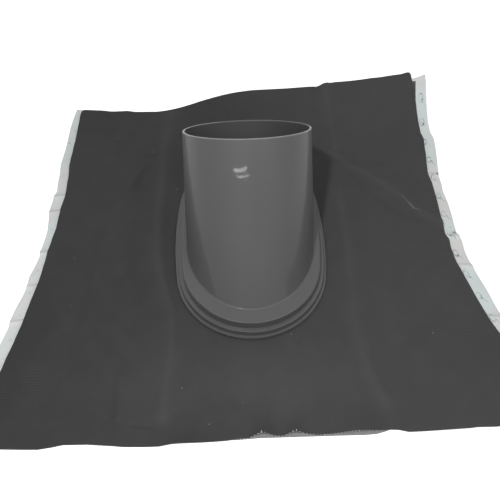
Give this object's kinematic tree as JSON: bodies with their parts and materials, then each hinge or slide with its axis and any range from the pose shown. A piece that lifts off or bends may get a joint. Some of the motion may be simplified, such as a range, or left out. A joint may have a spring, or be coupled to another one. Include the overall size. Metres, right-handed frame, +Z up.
{
  "type": "pipe flashing boot",
  "caption": "Roof pipe flashing: leaning plastic pipe collar on a long oval base, welded on a soft square sheet with adhesive side strips under release liners.",
  "frame": {"origin": "under the middle of the part's box, on the ground that the sheet lies on", "axes": "+Z up, +Y the way the tube leans (up the roof), +X to the right seen from below the roof's slope"},
  "size_m": [0.5864, 0.455, 0.1624],
  "materials": {
    "collar_plastic": "satin moulded plastic",
    "sheet": "soft embossed flashing sheet, mottled matt",
    "adhesive": "tacky black sealing compound",
    "liner_film": "pale thin release film"
  },
  "bodies": {
    "root": {"pipe_collar": "collar_plastic", "flashing_sheet": "sheet", "adhesive_strip_left": "adhesive", "adhesive_strip_right": "adhesive", "release_liner_left": "liner_film", "release_liner_right": "liner_film"}
  },
  "joints": []
}
